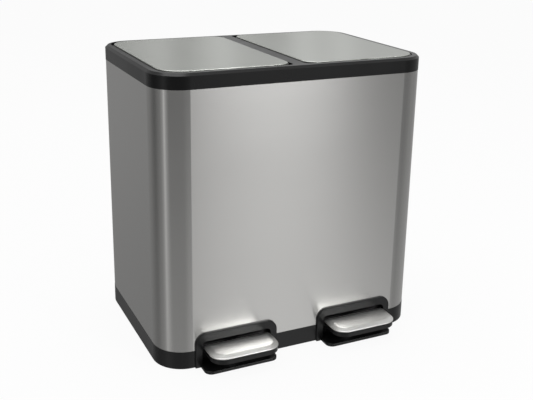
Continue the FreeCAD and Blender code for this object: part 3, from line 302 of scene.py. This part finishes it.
def plated(name, colour):
    """Zinc-plated steel: dull, with small crystals and handling marks."""
    shader = Shader(name)
    shader.surface.inputs["Metallic"].default_value = 1.0
    crystals = shader.add("ShaderNodeTexVoronoi")
    crystals.inputs["Scale"].default_value = 1.0
    shader.link(shader.scaled((CRYSTALS,) * 3), crystals.inputs["Vector"])
    marks = shader.noise((MARKS,) * 3, detail=4.0)
    mixed = shader.combine("MULTIPLY", crystals.outputs["Distance"], marks)
    tone = shader.spread(mixed, 0.0, 1.0, narrow=0.05)
    shader.tint(tone, shaded(colour, CRYSTAL_DARKER), shaded(colour, CRYSTAL_LIGHTER))
    shader.rough(shader.spread(marks, MARK_SMOOTH, MARK_COARSE))
    shader.bump(marks, MARK_STRENGTH, MARK_DEPTH)
    return shader.material


WRAP_STEEL = brushed_steel(
    "wrap_steel",
    colour=(0.625, 0.62, 0.605),
    grain=(4.0, 4.0, 1600.0),
    cloud=(3.0, 3.0, 9.0),
    roughness=0.22,
    anisotropy=0.97,
)
LID_STEEL = brushed_steel(
    "lid_steel",
    colour=(0.60, 0.615, 0.58),
    grain=(4.0, 1600.0, 4.0),
    cloud=(16.0, 2.5, 3.0),
    roughness=0.22,
    anisotropy=1.0,
    axis="Y",
)
PEDAL_STEEL = brushed_steel(
    "pedal_steel",
    colour=(0.84, 0.84, 0.82),
    grain=(8.0, 1200.0, 60.0),
    cloud=(12.0, 12.0, 12.0),
    roughness=0.34,
    anisotropy=0.3,
    axis="Y",
)
PLATED_STEEL = plated("plated_steel", (0.58, 0.59, 0.61))
BLACK_PLASTIC = moulded("black_plastic", (0.004, 0.0042, 0.0044), 0.3)
BUCKET_PLASTIC = moulded("bucket_plastic", (0.12, 0.125, 0.13), 0.5)
RUBBER = moulded("rubber", (0.03, 0.03, 0.03), 0.8, grain=900.0, depth=0.0002)

FINISHES = {
    "body_wrap": WRAP_STEEL,
    "base_tray": BLACK_PLASTIC,
    "rubber_feet": RUBBER,
    "rim_collar": BLACK_PLASTIC,
    "pedal_surround": BLACK_PLASTIC,
    "lid_skin": LID_STEEL,
    "lid_frame": BLACK_PLASTIC,
    "hinge_pins": PLATED_STEEL,
    "lid_bumpers": RUBBER,
    "push_rod": PLATED_STEEL,
    "pedal_lever": PLATED_STEEL,
    "lever_bracket": PLATED_STEEL,
    "pivot_pin": PLATED_STEEL,
    "bracket_screws": PLATED_STEEL,
    "pedal_cap": PEDAL_STEEL,
    "pedal_carrier": BLACK_PLASTIC,
    "bucket": BUCKET_PLASTIC,
}


def dress_nodes():
    """Give every CAD node its finish."""
    for name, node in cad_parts.items():
        kind = name.removesuffix("_left").removesuffix("_right")
        node.data.materials.clear()
        node.data.materials.append(FINISHES[kind])


# --- pedal caps -----------------------------------------------------------------------------

PEDAL_FRONT_RADIUS = 0.024
PEDAL_BACK_RADIUS = 0.007
LEAST_BEND = 0.0015
CORNER_STEPS = 14
CAP_CROWN = 0.0012

# The cap in section, from its turned-down edge to its flat top: inset from the outline, then drop.
CAP_SECTION = [
    (0.0010, 0.0044),
    (0.0002, 0.0044),
    (0.0000, 0.0041),
    (0.0001, 0.0035),
    (0.0006, 0.0029),
    (0.0014, 0.0025),
    (0.0024, 0.0021),
    (0.0074, 0.0006),
    (0.0082, 0.0003),
    (0.0094, 0.0001),
    (0.0120, 0.0000),
    (0.0180, 0.0000),
]


def pedal_ring(low, high, inset):
    """A pedal's outline in plan, drawn inwards, as points that run round it."""
    corners = [
        (low.x, low.y, 1, 1, PEDAL_FRONT_RADIUS, math.pi),
        (high.x, low.y, -1, 1, PEDAL_FRONT_RADIUS, 1.5 * math.pi),
        (high.x, high.y, -1, -1, PEDAL_BACK_RADIUS, 0.0),
        (low.x, high.y, 1, -1, PEDAL_BACK_RADIUS, 0.5 * math.pi),
    ]
    points = []
    for x, y, to_right, to_back, radius, start in corners:
        bend = max(radius - inset, LEAST_BEND)
        centre_x = x + to_right * (inset + bend)
        centre_y = y + to_back * (inset + bend)
        for step in range(CORNER_STEPS + 1):
            angle = start + 0.5 * math.pi * step / CORNER_STEPS
            points.append((centre_x + bend * math.cos(angle), centre_y + bend * math.sin(angle)))
    return points


def make_pedal_cap(side):
    """A pressed cap: crowned top, creased bevel all round and a short turned-down edge."""
    node = f"pedal_cap_{side}"
    low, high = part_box(node)
    middle = (low.x + high.x) / 2
    half = (high.x - low.x) / 2
    shell = bmesh.new()
    rings = []
    for inset, drop in CAP_SECTION:
        ring = []
        for x, y in pedal_ring(low, high, inset):
            crown = CAP_CROWN * ((x - middle) / half) ** 2
            ring.append(shell.verts.new((x, y, high.z - drop - crown)))
        rings.append(ring)
    count = len(rings[0])
    for outer, inner in zip(rings, rings[1:]):
        for index in range(count):
            following = (index + 1) % count
            shell.faces.new((outer[index], outer[following], inner[following], inner[index]))
    shell.faces.new(rings[-1])
    bmesh.ops.recalc_face_normals(shell, faces=shell.faces)
    mesh = bpy.data.meshes.new(f"cap_{side}")
    shell.to_mesh(mesh)
    shell.free()
    for face in mesh.polygons:
        face.use_smooth = True
    mesh.materials.append(PEDAL_STEEL)
    cap = bpy.data.objects.new(f"cap_{side}", mesh)
    bpy.context.scene.collection.objects.link(cap)
    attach(cap, f"pedal_{side}")
    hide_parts(node)


# --- studio ---------------------------------------------------------------------------------


def card_ring(tree, turn, cards):
    """The light of a ring of cards, by the azimuth's share of a full turn."""
    ring = add_node(tree, "ShaderNodeValToRGB")
    ring.color_ramp.interpolation = "EASE"
    tree.links.new(turn, ring.inputs["Fac"])
    stops = ring.color_ramp.elements
    while len(stops) < len(cards):
        stops.new(0.5)
    for stop, (azimuth, level) in zip(stops, cards):
        stop.position = azimuth / 360 + 0.5
        stop.color = (level, level, level, 1.0)
    return ring.outputs["Color"]


def blended(tree, rise, start, end, first, second):
    """Two colours that meet between two elevations in degrees."""
    share = add_node(tree, "ShaderNodeMapRange", interpolation_type="SMOOTHSTEP")
    share.inputs["From Min"].default_value = math.sin(math.radians(start))
    share.inputs["From Max"].default_value = math.sin(math.radians(end))
    tree.links.new(rise, share.inputs["Value"])
    mix = add_node(tree, "ShaderNodeMix", data_type="RGBA")
    tree.links.new(share.outputs["Result"], mix.inputs["Factor"])
    tree.links.new(first, mix.inputs["A"])
    tree.links.new(second, mix.inputs["B"])
    return mix.outputs["Result"]


def make_world():
    """White behind the object; for its light and reflections, three rings of cards."""
    world = bpy.data.worlds.new("studio")
    bpy.context.scene.world = world
    world.use_nodes = True
    tree = world.node_tree
    tree.nodes.clear()
    direction = add_node(tree, "ShaderNodeTexCoord")
    parts = add_node(tree, "ShaderNodeSeparateXYZ")
    tree.links.new(direction.outputs["Generated"], parts.inputs["Vector"])
    angle = add_node(tree, "ShaderNodeMath", operation="ARCTAN2")
    tree.links.new(parts.outputs["Y"], angle.inputs[0])
    tree.links.new(parts.outputs["X"], angle.inputs[1])
    turn = add_node(tree, "ShaderNodeMath", operation="MULTIPLY_ADD")
    turn.inputs[1].default_value = 0.5 / math.pi
    turn.inputs[2].default_value = 0.5
    tree.links.new(angle.outputs["Value"], turn.inputs[0])
    share = turn.outputs["Value"]
    eye = card_ring(tree, share, EYE_CARDS)
    low = card_ring(tree, share, FLOOR_CARDS)
    high = card_ring(tree, share, CEILING_CARDS)
    rise = parts.outputs["Z"]
    room = blended(tree, rise, CEILING_FROM, CEILING_FULL, eye, high)
    whole = blended(tree, rise, FLOOR_FULL, FLOOR_FROM, low, room)
    ray = add_node(tree, "ShaderNodeLightPath")
    seen = add_node(tree, "ShaderNodeMix", data_type="RGBA")
    seen.inputs["B"].default_value = (1.0, 1.0, 1.0, 1.0)
    tree.links.new(ray.outputs["Is Camera Ray"], seen.inputs["Factor"])
    tree.links.new(whole, seen.inputs["A"])
    background = add_node(tree, "ShaderNodeBackground")
    tree.links.new(seen.outputs["Result"], background.inputs["Color"])
    output = add_node(tree, "ShaderNodeOutputWorld")
    tree.links.new(background.outputs["Background"], output.inputs["Surface"])


def beyond_footprint(shader):
    """One outside the space under the bin and nought in it, where the floor stays in shadow."""
    parts = shader.add("ShaderNodeSeparateXYZ")
    shader.link(shader.place, parts.inputs["Vector"])
    shares = []
    for axis, half in (("X", SHADE_HALF_WIDTH), ("Y", SHADE_HALF_DEPTH)):
        away = shader.add("ShaderNodeMath", operation="ABSOLUTE")
        shader.link(parts.outputs[axis], away.inputs[0])
        shares.append(shader.combine("DIVIDE", away.outputs["Value"], half))
    return shader.combine("GREATER_THAN", shader.combine("MAXIMUM", *shares), 1.0)


def make_floor():
    """A pale floor that keeps a soft shadow."""
    half = FLOOR_HALF
    mesh = bpy.data.meshes.new("floor")
    corners = [(-half, -half, 0), (half, -half, 0), (half, half, 0), (-half, half, 0)]
    mesh.from_pydata(corners, [], [(0, 1, 2, 3)])
    floor = bpy.data.objects.new("floor", mesh)
    bpy.context.scene.collection.objects.link(floor)
    floor.visible_glossy = False
    shader = Shader("floor")
    shader.surface.inputs["Roughness"].default_value = FLOOR_ROUGHNESS
    shader.tint(shader.noise((FLOOR_CLOUDS,) * 3), FLOOR_DARK, FLOOR_LIGHT)
    glow = shader.add("ShaderNodeEmission")
    ray = shader.add("ShaderNodeLightPath")
    mix = shader.add("ShaderNodeMixShader")
    glowing = shader.combine("MULTIPLY", ray.outputs["Is Camera Ray"], FLOOR_GLOW)
    shader.link(shader.combine("MULTIPLY", glowing, beyond_footprint(shader)), mix.inputs["Fac"])
    shader.link(shader.surface.outputs["BSDF"], mix.inputs[1])
    shader.link(glow.outputs["Emission"], mix.inputs[2])
    output = next(node for node in shader.tree.nodes if node.type == "OUTPUT_MATERIAL")
    shader.link(mix.outputs["Shader"], output.inputs["Surface"])
    mesh.materials.append(shader.material)


def softbox(name, place, aim, width, height, power):
    """A soft rectangular lamp that points at a place on the bin."""
    lamp = bpy.data.lights.new(name, "AREA")
    lamp.shape = "RECTANGLE"
    lamp.size = width
    lamp.size_y = height
    lamp.energy = power
    holder = bpy.data.objects.new(name, lamp)
    bpy.context.scene.collection.objects.link(holder)
    holder.location = place
    holder.rotation_mode = "QUATERNION"
    holder.rotation_quaternion = (Vector(aim) - Vector(place)).to_track_quat("-Z", "Y")


def make_camera():
    """The camera of the photograph."""
    data = bpy.data.cameras.new("camera")
    camera = bpy.data.objects.new("camera", data)
    bpy.context.scene.collection.objects.link(camera)
    bpy.context.scene.camera = camera
    azimuth = math.radians(CAMERA_AZIMUTH)
    elevation = math.radians(CAMERA_ELEVATION)
    roll = math.radians(CAMERA_ROLL)
    back = Vector(
        (
            math.sin(azimuth) * math.cos(elevation),
            -math.cos(azimuth) * math.cos(elevation),
            math.sin(elevation),
        )
    )
    level_right = Vector((math.cos(azimuth), math.sin(azimuth), 0.0))
    level_up = back.cross(level_right)
    right = level_right * math.cos(roll) + level_up * math.sin(roll)
    up = level_up * math.cos(roll) - level_right * math.sin(roll)
    place = CAMERA_AIM + right * CAMERA_RIGHT + up * CAMERA_UP + back * CAMERA_DISTANCE
    turn = Matrix((right, up, back)).transposed().to_4x4()
    camera.matrix_world = Matrix.Translation(place) @ turn
    data.sensor_fit = "HORIZONTAL"
    data.sensor_width = SENSOR_WIDTH
    data.lens = FOCAL_PIXELS / IMAGE_WIDTH * SENSOR_WIDTH
    data.shift_y = SHIFT_PIXELS / IMAGE_WIDTH
    data.clip_start = 0.01
    data.clip_end = 50.0


dress_nodes()
make_pedal_cap("left")
make_pedal_cap("right")
make_world()
make_floor()
for lamp in LAMPS:
    softbox(*lamp)
make_camera()
bpy.context.scene.view_settings.view_transform = "Standard"
